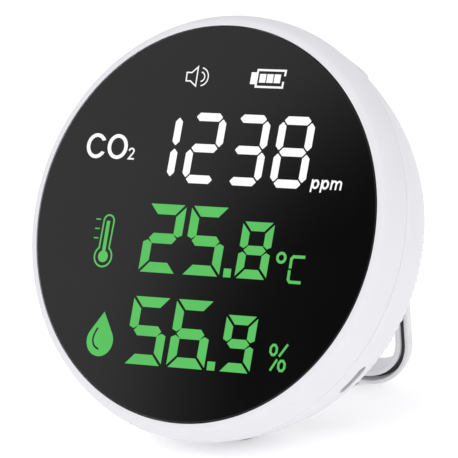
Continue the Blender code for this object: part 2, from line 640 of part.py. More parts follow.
def make_stand(axis, mats):
    """The loop is drawn folded flat, in a frame whose origin lies on the hinge axis."""
    reach = -1.0
    insets = sorted({inset for inset, _ in stand_section(FOOT_DEPTH)})
    lines = {inset: loop_line(inset, reach) for inset in insets}
    count = len(lines[0.0])
    points, faces = [], []
    for i in range(count):
        z = lines[0.0][i][1]
        rise = min(1.0, max(0.0, (z - (HINGE_HEIGHT - STAND_LENGTH)) / DEEP_FOOT))
        ease = rise * rise * (3 - 2 * rise)
        section = stand_section(FOOT_DEPTH + (LEG_DEPTH - FOOT_DEPTH) * ease)
        for inset, depth in section:
            x, z = lines[inset][i]
            points.append((x, depth - STAND_FRONT, z - HINGE_HEIGHT))
    ring = len(stand_section(FOOT_DEPTH))
    for i in range(count - 1):
        for k in range(ring):
            m = (k + 1) % ring
            faces.append([i * ring + k, i * ring + m, (i + 1) * ring + m, (i + 1) * ring + k])
    faces.append(list(range(ring)))
    faces.append(list(range((count - 1) * ring, count * ring)))
    stand = add_object("stand", points, faces, mats["grey"], axis)
    axle = axle_basis(0, 0)
    low, high = KNUCKLE_X
    spans = ((low, high), (-high, -low))
    round_end = circle_outline(0, 0, KNUCKLE_RADIUS, 20)
    knuckles = prisms("knuckles", [(round_end, a, b) for a, b in spans], None, axis, axle)
    heel = box_outline(-STAND_FRONT, 0.5, -2.0, HEEL_REACH)
    heels = prisms("heels", [(heel, a + 0.2, b - 0.2) for a, b in spans], None, axis, axle)
    bore = circle_outline(0, 0, PIN_BORE)
    bores = prisms("knuckle_bores", [(bore, a - 1, b + 1) for a, b in spans], None, axis, axle)
    boolean(stand, knuckles, "UNION")
    boolean(stand, heels, "UNION")
    boolean(stand, bores)
    for side, name in ((1, "right"), (-1, "left")):
        start, end = sorted(side * x for x in PIN_X)
        pin = [(0, start), (PIN_RADIUS, start), (PIN_RADIUS, end), (0, end)]
        turned(f"hinge_pin_{name}", pin, mats["steel"], axis, axle, 12)
        washer = box_outline(PIN_BORE, 2.4, *sorted(side * x for x in WASHER_X))
        turned(f"hinge_washer_{name}", washer, mats["rubber"], axis, axle, 16)
    make_foot_pad(axis, mats)


def make_foot_pad(axis, mats):
    """Rubber foot under the loop's bottom bar, level with the table when the stand is open."""
    turn = STAND_OPEN - LEAN
    foot = -STAND_LENGTH

    def to_local(across, down):
        """From the table's frame (back, and down from the hinge) to the folded stand's frame."""
        c, s = math.cos(turn), math.sin(turn)
        return across * c - down * s, -(down * c + across * s)

    hinge_down = HINGE_DEPTH * math.sin(LEAN) - HINGE_HEIGHT * math.cos(LEAN)
    drop = PAD_PLANE - hinge_down
    edge_front = (-STAND_FRONT + 0.3, foot - GAP)
    edge_mid = (-STAND_FRONT + STAND_SIDE + 0.1, foot - GAP)
    edge_back = (-STAND_FRONT + 3.35, foot)

    def below(point):
        """The point straight down on the table from a point of the stand."""
        c, s = math.cos(turn), math.sin(turn)
        across = point[0] * c - point[1] * s
        return to_local(across, drop)

    outline = [edge_front, edge_mid, edge_back, below(edge_back), below(edge_front)]
    prisms("stand_foot_pad", [(outline, -12.0, 12.0)], mats["rubber"], axis, axle_basis(0, 0))


def make_base_pad(frame, mats):
    body = (rounded_outline(*PAD_SIZE, PAD_SIZE[1] / 2 - 0.01), PAD_PLANE - 1.0, PAD_PLANE)
    prisms("base_pad", [body], mats["rubber"], frame, pad_basis())


def make_housing_screws(frame, mats):
    tip = 12.0
    for index, (x, z) in enumerate(BOSSES):
        seat = screw_seat(z) + GAP
        shank = [(0, tip), (0.4, tip), (SCREW_RADIUS, tip + 1.2), (SCREW_RADIUS, seat)]
        head = [(SCREW_HEAD_RADIUS, seat), (SCREW_HEAD_RADIUS, seat + 0.9), (1.4, seat + 1.2)]
        drive = [(0.6, seat + 1.2), (0.6, seat + 0.6), (0, seat + 0.6)]
        profile = shank + head + drive
        turned(f"housing_screw_{index + 1}", profile, mats["steel"], frame, depth_basis(x, z), 12)


def make_materials():
    return {
        "white": make_material("white_plastic", (0.85, 0.85, 0.87), 0.42),
        "grey": make_material("grey_plastic", (0.60, 0.60, 0.62), 0.40),
        "lens": make_material("smoked_window", (0.012, 0.012, 0.014), 0.10),
        "tape": make_material("black_tape", (0.03, 0.03, 0.03), 0.80),
        "film": make_material("diffuser_film", (0.80, 0.80, 0.78), 0.55),
        "reflector": make_material("reflector_white", (0.88, 0.88, 0.86), 0.50),
        "board": make_material("green_board", (0.03, 0.22, 0.09), 0.45),
        "board_dark": make_material("dark_board", (0.02, 0.10, 0.05), 0.45),
        "black": make_material("black_plastic", (0.02, 0.02, 0.022), 0.45),
        "steel": make_material("bright_steel", (0.62, 0.62, 0.64), 0.28, 1.0),
        "gold": make_material("gold_plating", (0.83, 0.63, 0.25), 0.25, 1.0),
        "filter": make_material("filter_membrane", (0.92, 0.92, 0.90), 0.90),
        "foil": make_material("battery_foil", (0.55, 0.57, 0.60), 0.35, 0.6),
        "sensor": make_material("sensor_resin", (0.05, 0.05, 0.05), 0.40),
        "red": make_material("red_insulation", (0.65, 0.03, 0.02), 0.45),
        "rubber": make_material("grey_rubber", (0.45, 0.45, 0.46), 0.85),
    }


def build():
    clear_scene()
    mats = make_materials()
    frame = make_device_frame()
    make_window(frame, mats)
    make_front_housing(frame, mats)
    make_display(frame, mats)
    make_main_board(frame, mats)
    make_co2_sensor(frame, mats)
    make_battery(frame, mats)
    make_usb_port(frame, mats)
    make_button(frame, make_button_axis(frame), mats)
    make_rear_housing(frame, mats)
    make_housing_screws(frame, mats)
    make_base_pad(frame, mats)
    make_stand(make_stand_axis(frame), mats)


build()
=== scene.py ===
"""Looks of a round desktop carbon dioxide monitor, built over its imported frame.

Lengths are in millimetres in the monitor's own device frame: x to the right, y backwards from the window
and z up the face, with the origin at the window's centre. DEVICE and STAND carry that frame into the world.
"""
import json
import math

import bmesh
import bpy
from mathutils import Matrix, Vector


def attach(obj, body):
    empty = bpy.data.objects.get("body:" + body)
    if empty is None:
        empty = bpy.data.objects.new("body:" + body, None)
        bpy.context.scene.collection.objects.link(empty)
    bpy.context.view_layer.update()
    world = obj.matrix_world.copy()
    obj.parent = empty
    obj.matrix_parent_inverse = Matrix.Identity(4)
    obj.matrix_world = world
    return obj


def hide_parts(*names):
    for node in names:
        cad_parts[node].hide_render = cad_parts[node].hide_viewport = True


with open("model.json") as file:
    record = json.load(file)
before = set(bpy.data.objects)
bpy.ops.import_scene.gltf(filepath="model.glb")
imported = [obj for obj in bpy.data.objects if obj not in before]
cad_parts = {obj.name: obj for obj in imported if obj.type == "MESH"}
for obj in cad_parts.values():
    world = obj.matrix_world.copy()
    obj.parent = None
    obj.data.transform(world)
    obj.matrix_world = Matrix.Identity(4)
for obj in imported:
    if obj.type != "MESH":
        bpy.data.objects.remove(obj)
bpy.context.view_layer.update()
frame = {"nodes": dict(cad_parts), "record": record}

MM = 0.001
GAP = 0.3
RECORD = frame["record"]
JOINTS = {joint["name"]: joint for joint in RECORD["behaviour"]["joints"]}
MOUNTS = {mount["name"]: mount for mount in RECORD["mounts"]}
SLOTS = {entry["node"]: entry["material_slot"] for entry in RECORD["subparts"]}

# How the monitor stands: the back's normal gives the lean, the hinge gives the stand's axis
REAR_NORMAL = MOUNTS["rear_face"]["axis"]
LEAN = math.atan2(-REAR_NORMAL[2], REAR_NORMAL[1])
STAND_OPEN = math.radians(-JOINTS["stand_hinge"]["range_deg"][0])
HINGE = Vector(JOINTS["stand_hinge"]["pos_m"])
PAD_PLANE = 56.3                # window centre to table, square to the table
PAD_BACK = 0.9                  # base pad's centre behind the window centre, along the table
PAD_SIZE = (14.0, 5.8)
DEVICE = Matrix.Translation(Vector((0, -PAD_BACK, PAD_PLANE)) * MM) @ Matrix.Rotation(-LEAN, 4, "X")
STAND = Matrix.Translation(HINGE) @ Matrix.Rotation(STAND_OPEN - LEAN, 4, "X")

# Case, as (radius, depth) pairs that a smooth curve passes through
SEAM = 8.0
LENS_RADIUS = 49.9
LENS_THICKNESS = 1.6
FRONT_SKIN = [(50.2, 0.0), (51.2, 0.2), (52.0, 0.7), (52.5, 1.5), (53.1, 2.8), (53.6, 4.4), (53.9, 6.2),
              (54.0, SEAM - 0.2)]
REAR_SKIN = [(53.93, SEAM + 0.15), (53.6, 9.9), (52.9, 13.7), (51.7, 18.4), (50.1, 23.1), (48.6, 26.3),
             (47.3, 27.9), (45.1, 30.2), (42.9, 32.2), (40.0, 33.6), (36.0, 34.3)]
REAR_CAVITY = [(52.75, 7.0), (52.75, 10.5), (51.3, 11.2), (49.7, 18.4), (49.5, 19.0), (46.8, 25.5),
               (43.4, 29.1), (40.6, 31.2), (36.0, 32.3)]
BACK_DEPTH = 34.3
CASE_STEPS = 240

# Screw bosses, as (x, z), and the depths of their screw heads' seats
BOSSES = [(22.2, -38.3), (-22.2, -38.3), (30.0, 32.4), (-30.0, 32.4)]
SCREW_SEATS = [23.0 if z < 0 else 25.6 for _, z in BOSSES]
BOSS_TOP = 20.9
SHANK_HOLE = 1.3

# Stand loop, drawn folded
HINGE_DEPTH, HINGE_HEIGHT = 28.0, 24.0
STAND_FRONT = 3.0               # front plane of the loop ahead of the hinge axis
STAND_LENGTH = 65.1
STAND_FLAT_HALF = 16.0
STAND_CORNER = 14.9
STAND_TAPER = math.radians(8.3)
STAND_WIDTH = 4.0
LEG_DEPTH, FOOT_DEPTH = 5.4, 7.93
DEEP_FOOT = 16.0                # height over which the legs' section deepens to the foot's
GROOVE = (1.1, 2.4, 2.5)        # groove's start, end and depth
KNUCKLE_SPANS = ((34.0, 38.6), (-38.6, -34.0))
PIN_BORE = 1.2

# Room for the folded stand in the back
RECESS_FLOOR = 24.5
RECESS_GAP = 0.9
RECESS_WALL = 1.3
PAD_ROOM = (12.8, -43.0)        # half width and lowest point of the foot pad's pocket
SCOOP_HEIGHT = -33.0
SCOOP_RADIUS = 9.0

# Side openings: angle round the case from +x, and depth
USB_ANGLE, USB_DEPTH = math.radians(-41.4), 16.9
BUTTON_ANGLE, BUTTON_DEPTH = math.radians(59.5), 16.5
BUTTON_SIZE = (14.0, 3.4)
BUTTON_FACE = 52.75
BUTTON_DRAFT = 0.235            # slope of the cap's face, which follows the case
VENT_ANGLES = [math.radians(4.0 - 2.4 * i) for i in range(20)]
VENT_SIZE = (1.0, 7.7)
VENT_DEPTH = 27.65

# Display colours
WHITE_LIGHT = (1.0, 1.0, 1.0)
GREEN_LIGHT = (0.105, 0.535, 0.118)


# Geometry helpers

class Basis:
    """A local frame: across and up span an outline's plane, and out is the way it is extruded or turned."""

    def __init__(self, origin, across, up, out):
        self.origin, self.across, self.up, self.out = (Vector(v) for v in (origin, across, up, out))

    def at(self, a, b, c):
        return self.origin + self.across * a + self.up * b + self.out * c


def depth_basis(x=0.0, z=0.0):
    """Outlines lie in the face's plane and grow backwards."""
    return Basis((x, 0, z), (1, 0, 0), (0, 0, 1), (0, 1, 0))


def side_basis(angle, depth):
    """Outlines lie on the case's side at an angle and a depth, and grow outwards."""
    c, s = math.cos(angle), math.sin(angle)
    return Basis((0, depth, 0), (-s, 0, c), (0, 1, 0), (c, 0, s))


def axle_basis(y=0.0, z=0.0):
    """Outlines lie across the hinge axis and grow along x."""
    return Basis((0, y, z), (0, 1, 0), (0, 0, 1), (1, 0, 0))


def pad_basis():
    """Outlines lie in the table's plane, centred under the base pad, and grow down towards the table."""
    c, s = math.cos(LEAN), math.sin(LEAN)
    back = Vector((0, c, s))
    return Basis(back * PAD_BACK, (1, 0, 0), back, (0, s, -c))


def add_piece(name, points, faces, mat, matrix=DEVICE):
    mesh = bpy.data.meshes.new(name)
    bm = bmesh.new()
    verts = [bm.verts.new(Vector(p) * MM) for p in points]
    for face in faces:
        bm.faces.new([verts[i] for i in face])
    bmesh.ops.recalc_face_normals(bm, faces=bm.faces)
    bm.to_mesh(mesh)
    bm.free()
    obj = bpy.data.objects.new(name, mesh)
    obj.matrix_world = matrix
    bpy.context.scene.collection.objects.link(obj)
    if mat:
        mesh.materials.append(mat)
    return obj


def ring_faces(rows, steps, closed_rows):
    """Quads between rings of points, each ring holding steps points."""
    faces = []
    for row in range(rows if closed_rows else rows - 1):
        low, high = row * steps, (row + 1) % rows * steps
        for k in range(steps):
            m = (k + 1) % steps
            faces.append([low + k, low + m, high + m, high + k])
    return faces


def turned(name, profile, mat, basis=None, steps=CASE_STEPS):
    """Turns an outline of (radius, height) pairs; one that starts and ends on the axis gets flat caps."""
    basis = basis or depth_basis()
    rim = [pair for pair in profile if pair[0] > 1e-6]
    solid = len(rim) < len(profile)
    points = []
    for radius, height in rim:
        for k in range(steps):
            angle = 2 * math.pi * k / steps
            points.append(basis.at(radius * math.cos(angle), radius * math.sin(angle), height))
    faces = ring_faces(len(rim), steps, not solid)
    if solid:
        faces.append(list(range(steps)))
        faces.append(list(range(len(points) - steps, len(points))))
    return add_piece(name, points, faces, mat)


def prisms(name, outlines, mat, basis=None, matrix=DEVICE):
    """Extrudes several separate outlines; each is (list of (a, b), start, end)."""
    basis = basis or depth_basis()
    points, faces = [], []
    for outline, start, end in outlines:
        first, count = len(points), len(outline)
        points += [basis.at(a, b, start) for a, b in outline]
        points += [basis.at(a, b, end) for a, b in outline]
        faces.append([first + i for i in range(count)])
        faces.append([first + count + i for i in range(count)])
        for i in range(count):
            j = (i + 1) % count
            faces.append([first + i, first + j, first + count + j, first + count + i])
    return add_piece(name, points, faces, mat, matrix)


def lofted(name, rows, mat, matrix=DEVICE):
    """Joins rows of equally many points and closes both ends."""
    count = len(rows[0])
    points = [p for row in rows for p in row]
    faces = ring_faces(len(rows), count, False)
    faces += [list(range(count)), list(range(len(points) - count, len(points)))]
    return add_piece(name, points, faces, mat, matrix)


def box_outline(a0, a1, b0, b1):
    return [(a0, b0), (a1, b0), (a1, b1), (a0, b1)]


def arc(x, z, radius, start=0.0, end=360.0, steps=48):
    """Points along an arc, in degrees; a full circle leaves out its repeated last point."""
    full = abs(end - start) >= 360.0
    turns = [math.radians(start + (end - start) * k / steps) for k in range(steps if full else steps + 1)]
    return [(x + radius * math.cos(t), z + radius * math.sin(t)) for t in turns]


def rounded_outline(width, height, radius, steps=10):
    points = []
    for quarter, (sx, sy) in enumerate([(1, 1), (-1, 1), (-1, -1), (1, -1)]):
        points += arc(sx * (width / 2 - radius), sy * (height / 2 - radius), radius, 90 * quarter,
                      90 * quarter + 90, steps)
    return points


def filleted(corners, steps=5):
    """Rounds a closed outline; each corner is (a, b, radius)."""
    points = []
    for i, (a, b, radius) in enumerate(corners):
        here = Vector((a, b))
        before = (Vector(corners[i - 1][:2]) - here).normalized()
        after = (Vector(corners[(i + 1) % len(corners)][:2]) - here).normalized()
        if radius < 1e-6:
            points.append(tuple(here))
            continue
        half = before.angle(after) / 2
        reach = radius / math.tan(half)
        centre = here + (before + after).normalized() * (radius / math.sin(half))
        first, last = here + before * reach - centre, here + after * reach - centre
        for k in range(steps + 1):
            points.append(tuple(centre + first.slerp(last, k / steps).normalized() * radius))
    return points


def smooth_curve(points, steps=6):
    """A Catmull-Rom curve through the points."""
    curve = []
    padded = [points[0]] + list(points) + [points[-1]]

    def blend(a, b, c, d, t):
        square, cube = 2 * a - 5 * b + 4 * c - d, 3 * b - a - 3 * c + d
        return 0.5 * (2 * b + (c - a) * t + square * t * t + cube * t ** 3)

    for span in zip(padded, padded[1:], padded[2:], padded[3:]):
        curve += [tuple(blend(*values, k / steps) for values in zip(*span)) for k in range(steps)]
    curve.append(tuple(points[-1]))
    return curve


def carve(target, steps):
    """Runs Boolean steps, each (operation, cutter), then keeps only the finished mesh."""
    for operation, cutter in steps:
        modifier = target.modifiers.new(cutter.name, "BOOLEAN")
        modifier.operation = operation
        modifier.solver = "EXACT"
        modifier.object = cutter
    settle(target)
    for _, cutter in steps:
        bpy.data.objects.remove(cutter, do_unlink=True)


def settle(obj):
    """Applies an object's modifiers."""
    depsgraph = bpy.context.evaluated_depsgraph_get()
    mesh = bpy.data.meshes.new_from_object(obj.evaluated_get(depsgraph))
    obj.modifiers.clear()
    obj.data = mesh


def soften(obj, width, angle=40.0, segments=2):
    """Rounds an object's sharp edges."""
    bevel = obj.modifiers.new("edges", "BEVEL")
    bevel.width = width * MM
    bevel.segments = segments
    bevel.limit_method = "ANGLE"
    bevel.angle_limit = math.radians(angle)
    bevel.harden_normals = False
    settle(obj)


def finish_piece(obj, body, replaces=(), smooth=30.0):
    """Shades a piece and says what it moves with and what it stands for."""
    obj.data.transform(obj.matrix_world)
    obj.matrix_world = Matrix.Identity(4)
    obj.data.shade_smooth()
    obj.data.set_sharp_from_angle(angle=math.radians(smooth))
    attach(obj, body)
    if replaces:
        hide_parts(*replaces)
    return obj


# Materials

class Shader:
    """A Principled material under construction, with its procedural inputs built by short calls."""

    def __init__(self, name, colour, roughness, metallic=0.0):
        self.mat = bpy.data.materials.new(name)
        self.mat.use_nodes = True
        self.nodes = self.mat.node_tree.nodes
        self.links = self.mat.node_tree.links
        self.main = self.nodes["Principled BSDF"]
        self.colour = colour
        self.roughness = roughness
        self.main.inputs["Base Color"].default_value = (*colour, 1.0)
        self.main.inputs["Roughness"].default_value = roughness
        self.main.inputs["Metallic"].default_value = metallic
        self.coords = self.nodes.new("ShaderNodeTexCoord").outputs["Object"]

    def setting(self, **values):
        for key, value in values.items():
            self.main.inputs[key.replace("_", " ")].default_value = value
        return self

    def stretched(self, scale):
        mapping = self.nodes.new("ShaderNodeMapping")
        mapping.inputs["Scale"].default_value = scale
        self.links.new(self.coords, mapping.inputs["Vector"])
        return mapping.outputs["Vector"]

    def noise(self, scale, detail=3.0, vector=None, roughness=0.5):
        node = self.nodes.new("ShaderNodeTexNoise")
        node.inputs["Scale"].default_value = scale
        node.inputs["Detail"].default_value = detail
        node.inputs["Roughness"].default_value = roughness
        self.links.new(vector or self.coords, node.inputs["Vector"])
        return node.outputs["Fac"]

    def cells(self, scale, feature="F1"):
        node = self.nodes.new("ShaderNodeTexVoronoi")
        node.feature = feature
        node.inputs["Scale"].default_value = scale
        self.links.new(self.coords, node.inputs["Vector"])
        return node.outputs["Distance"]

    def ranged(self, value, low, high, source=(0.3, 0.7)):
        node = self.nodes.new("ShaderNodeMapRange")
        node.inputs["From Min"].default_value, node.inputs["From Max"].default_value = source
        node.inputs["To Min"].default_value, node.inputs["To Max"].default_value = low, high
        self.links.new(value, node.inputs["Value"])
        return node.outputs["Result"]

    def mottle(self, value, other, source=(0.3, 0.7)):
        """Blends the base colour towards another colour by a texture."""
        node = self.nodes.new("ShaderNodeMix")
        node.data_type = "RGBA"
        node.inputs["A"].default_value = (*self.colour, 1.0)
        node.inputs["B"].default_value = (*other, 1.0)
        self.links.new(self.ranged(value, 0.0, 1.0, source), node.inputs["Factor"])
        self.links.new(node.outputs["Result"], self.main.inputs["Base Color"])
        return self

    def wear(self, value, spread):
        """Varies the roughness by a texture."""
        self.links.new(self.ranged(value, self.roughness - spread, self.roughness + spread),
                       self.main.inputs["Roughness"])
        return self

    def bump(self, value, depth, strength=1.0):
        """Raises the surface by a texture; depth is in millimetres."""
        node = self.nodes.new("ShaderNodeBump")
        node.inputs["Distance"].default_value = depth * MM
        node.inputs["Strength"].default_value = strength
        self.links.new(value, node.inputs["Height"])
        self.links.new(node.outputs["Normal"], self.main.inputs["Normal"])
        return self


def tinted(colour, factor):
    return tuple(channel * factor for channel in colour)


def moulded(name, colour, roughness, grain=0.006):
    """Injection-moulded plastic with a fine spark-eroded grain."""
    shader = Shader(name, colour, roughness)
    shader.setting(IOR=1.46, Coat_Weight=0.0)
    shader.mottle(shader.noise(90.0, 2.0), tinted(colour, 0.975))
    shader.wear(shader.noise(600.0, 4.0), 0.04)
    shader.bump(shader.noise(5200.0, 3.0, roughness=0.6), grain, 0.6)
    return shader.mat


def smoked():
    """Polished, almost opaque acrylic with faint haze and hairline wipe marks."""
    shader = Shader("smoked_acrylic", (0.0015, 0.0015, 0.0017), 0.11)
    shader.setting(IOR=1.45)
    shader.mottle(shader.noise(30.0, 2.0), (0.0028, 0.0028, 0.003))
    shader.wear(shader.noise(1.0, 5.0, shader.stretched((260.0, 40.0, 40.0))), 0.015)
    return shader.mat


def metal(name, colour, roughness, grain=(4000.0, 120.0, 4000.0)):
    shader = Shader(name, colour, roughness, 1.0)
    streaks = shader.noise(1.0, 4.0, shader.stretched(grain))
    shader.mottle(streaks, tinted(colour, 0.86))
    shader.wear(streaks, 0.07)
    shader.bump(streaks, 0.004, 0.5)
    return shader.mat


def board(name, colour):
    """Solder mask with the faint relief of copper tracks under it."""
    shader = Shader(name, colour, 0.38)
    tracks = shader.cells(420.0, "DISTANCE_TO_EDGE")
    shader.mottle(tracks, tinted(colour, 1.7), (0.06, 0.10))
    shader.bump(tracks, 0.03, 0.4)
    return shader.mat


def rubber(name, colour):
    shader = Shader(name, colour, 0.82)
    shader.setting(IOR=1.5)
    shader.mottle(shader.noise(400.0, 4.0), tinted(colour, 0.8))
    shader.bump(shader.noise(2600.0, 4.0, roughness=0.7), 0.03, 0.7)
    return shader.mat


def foam(name, colour):
    shader = Shader(name, colour, 0.9)
    pores = shader.cells(1800.0)
    shader.mottle(pores, tinted(colour, 0.4), (0.1, 0.5))
    shader.bump(pores, 0.08, 0.8)
    return shader.mat


def foil():
    shader = Shader("crimped_foil", (0.55, 0.57, 0.60), 0.34, 0.7)
    creases = shader.noise(160.0, 5.0, roughness=0.6)
    shader.mottle(creases, (0.42, 0.44, 0.48))
    shader.wear(creases, 0.08)
    shader.bump(creases, 0.12, 0.6)
    return shader.mat


def light(name, colour, strength):
    """Lit area of the display, with the slight unevenness of its lamps."""
    shader = Shader(name, tinted(colour, 0.05), 0.2)
    shader.setting(IOR=1.3)
    glow = shader.noise(120.0, 2.0)
    node = shader.nodes.new("ShaderNodeMix")
    node.data_type = "RGBA"
    node.inputs["A"].default_value = (*colour, 1.0)
    node.inputs["B"].default_value = (*tinted(colour, 0.93), 1.0)
    shader.links.new(shader.ranged(glow, 0.0, 1.0), node.inputs["Factor"])
    shader.links.new(node.outputs["Result"], shader.main.inputs["Emission Color"])
    shader.main.inputs["Emission Strength"].default_value = strength
    return shader.mat


def make_materials():
    return {
        "white_plastic": moulded("white_moulding", (0.752, 0.746, 0.782), 0.42),
        "grey_plastic": moulded("grey_moulding", (0.74, 0.735, 0.755), 0.38),
        "smoked_window": smoked(),
        "black_tape": foam("foam_tape", (0.03, 0.03, 0.03)),
        "diffuser_film": moulded("frosted_film", (0.80, 0.80, 0.78), 0.6, 0.012),
        "reflector_white": moulded("reflector_moulding", (0.88, 0.88, 0.86), 0.5),
        "green_board": board("green_solder_mask", (0.03, 0.22, 0.09)),
        "dark_board": board("dark_solder_mask", (0.02, 0.10, 0.05)),
        "black_plastic": moulded("black_moulding", (0.02, 0.02, 0.022), 0.45, 0.01),
        "bright_steel": metal("plated_steel", (0.62, 0.62, 0.64), 0.28),
        "gold_plating": metal("gold_plate", (0.83, 0.63, 0.25), 0.25),
        "filter_membrane": foam("porous_membrane", (0.92, 0.92, 0.90)),
        "battery_foil": foil(),
        "sensor_resin": moulded("sensor_moulding", (0.05, 0.05, 0.05), 0.4, 0.01),
        "red_insulation": moulded("red_wire", (0.65, 0.03, 0.02), 0.4, 0.004),
        "grey_rubber": rubber("pad_rubber", (0.42, 0.42, 0.43)),
        "display_white_light": light("white_lamps", WHITE_LIGHT, 1.0),
        "display_green_light": light("green_lamps", GREEN_LIGHT, 1.0),
    }


# Case

def make_window(mats):
    edge = 0.3
    profile = [(0, 0), (LENS_RADIUS - edge, 0)]
    profile += [(LENS_RADIUS - edge + edge * math.sin(t), edge - edge * math.cos(t))
                for t in [math.radians(a) for a in (22.5, 45, 67.5, 90)]]
    profile += [(LENS_RADIUS, LENS_THICKNESS), (0, LENS_THICKNESS)]
    window = turned("window_pane", profile, mats["smoked_window"])
    finish_piece(window, "case", ["front_lens"], 24.0)


def make_front_case(mats):
    """Front ring with its tongue, the ledge that carries the window, and the screw bosses."""
    tongue = [(53.75, SEAM), (52.4, SEAM), (52.4, 9.8), (52.2, 10.0), (51.5, 10.0)]
    ledge = [(51.5, 4.1), (44.2, 4.1), (44.2, 2.6), (50.2, 2.6), (50.2, 0.15)]
    ring = turned("front_case", smooth_curve(FRONT_SKIN) + tongue + ledge, mats["white_plastic"])
    shoulders = prisms("shoulders", [(arc(x, z, 3.3, steps=24), 3.0, 13.3) for x, z in BOSSES], None)
    necks = prisms("necks", [(arc(x, z, 2.4, steps=24), 12.8, BOSS_TOP) for x, z in BOSSES], None)
    holes = prisms("holes", [(arc(x, z, SHANK_HOLE, steps=16), 11.0, 22.0) for x, z in BOSSES], None)
    carve(ring, [("UNION", shoulders), ("UNION", necks), ("DIFFERENCE", holes)])
    finish_piece(ring, "case", ["front_housing"])


def loop_side(inset, reach, steps):
    """Right half of the stand loop's outline at an inset, from the bottom centre up past the hinge."""
    radius = STAND_CORNER - inset
    centre_z = HINGE_HEIGHT - STAND_LENGTH + STAND_CORNER
    points = [(STAND_FLAT_HALF * k / 4, centre_z - radius) for k in range(4)]
    points += arc(STAND_FLAT_HALF, centre_z, radius, -90.0, -math.degrees(STAND_TAPER), steps)
    x, z = points[-1]
    top = HINGE_HEIGHT + reach
    for k in range(1, 11):
        rise = (top - z) * k / 10
        points.append((x + rise * math.tan(STAND_TAPER), z + rise))
    return points


def loop_line(inset, reach, steps=32):
    right = loop_side(inset, reach, steps)
    return [(-x, z) for x, z in reversed(right[1:])] + right


def recess_outline(grow, reach):
    return loop_line(-grow, reach) + loop_line(STAND_WIDTH + grow, reach)[::-1]


def both_sides(x0, x1, z0, z1, y0, y1):
    return [(box_outline(x0, x1, z0, z1), y0, y1), (box_outline(-x1, -x0, z0, z1), y0, y1)]


def slot_cutter(name, basis, size, start, skin, flare, end):
    """A straight slot from start to just under the skin, then flared outwards."""
    width, height = size
    rows = []
    for grow, level in ((0.0, start), (0.0, skin - 0.45), (flare, skin + 0.35), (flare, end)):
        outline = rounded_outline(width + 2 * grow, height + 2 * grow, height / 2 + grow - 0.02)
        rows.append([basis.at(a, b, level) for a, b in outline])
    return lofted(name, rows, None)


def rear_cavity():
    """The bowl's inside, less what stays solid round the recess, hinges, posts, scoop and pad pocket."""
    cavity = turned("cavity", [(0, 7.0)] + REAR_CAVITY + [(0, 32.3)], None, steps=120)
    wall = recess_outline(RECESS_GAP + RECESS_WALL, 4.5)
    hinges = both_sides(27.6, 42.5, HINGE_HEIGHT - 5, HINGE_HEIGHT + 5.8, 21.7, 40.1)
    half, low = PAD_ROOM
    pad = box_outline(-half - 1.2, half + 1.2, low - RECESS_WALL, -39.0)
    kept = [
        prisms("kept_recess", [(wall, RECESS_FLOOR - RECESS_WALL, 40)], None),
        prisms("kept_hinges", hinges, None),
        prisms("kept_posts", [(arc(x, z, 2.7, steps=24), BOSS_TOP + GAP, 40.2) for x, z in BOSSES], None),
        prisms("kept_scoop", [(arc(0, SCOOP_HEIGHT, SCOOP_RADIUS + RECESS_WALL), 26.6, 40.3)], None),
        prisms("kept_pad", [(pad, RECESS_FLOOR - 1.2, 40.4)], None),
    ]
    carve(cavity, [("DIFFERENCE", solid) for solid in kept])
    return cavity


def scoop_cutter():
    """Fingertip hollow with a round floor edge and a chamfered mouth."""
    floor, rim, fillet = 28.0, BACK_DEPTH, 1.8
    profile = [(0, floor), (SCOOP_RADIUS - fillet, floor)]
    for angle in range(15, 91, 15):
        t = math.radians(angle)
        profile.append((SCOOP_RADIUS - fillet + fillet * math.sin(t), floor + fillet - fillet * math.cos(t)))
    chamfer = 0.7
    profile += [(SCOOP_RADIUS, rim - chamfer), (SCOOP_RADIUS + chamfer, rim + 0.01),
                (SCOOP_RADIUS + chamfer, 41.0), (0, 41.0)]
    return turned("scoop", profile, None, depth_basis(0, SCOOP_HEIGHT), 64)


def stand_room_cutters():
    """Recess, hinge pockets, pin bores and foot pad pocket."""
    pockets = both_sides(33.0, 39.2, HINGE_HEIGHT - 4, HINGE_HEIGHT + 4.4, 23.2, 41.1)
    bore = arc(0, 0, PIN_BORE, steps=24)
    half, low = PAD_ROOM
    return [
        prisms("recess", [(recess_outline(RECESS_GAP, 3.9), RECESS_FLOOR, 41)], None),
        prisms("pockets", pockets, None),
        scoop_cutter(),
        prisms("bores", [(bore, 28.1, 33.5), (bore, -33.5, -28.1)], None,
               axle_basis(HINGE_DEPTH, HINGE_HEIGHT)),
        prisms("pad_room", [(box_outline(-half, half, low, -40.0), RECESS_FLOOR + 0.1, 41.2)], None),
    ]


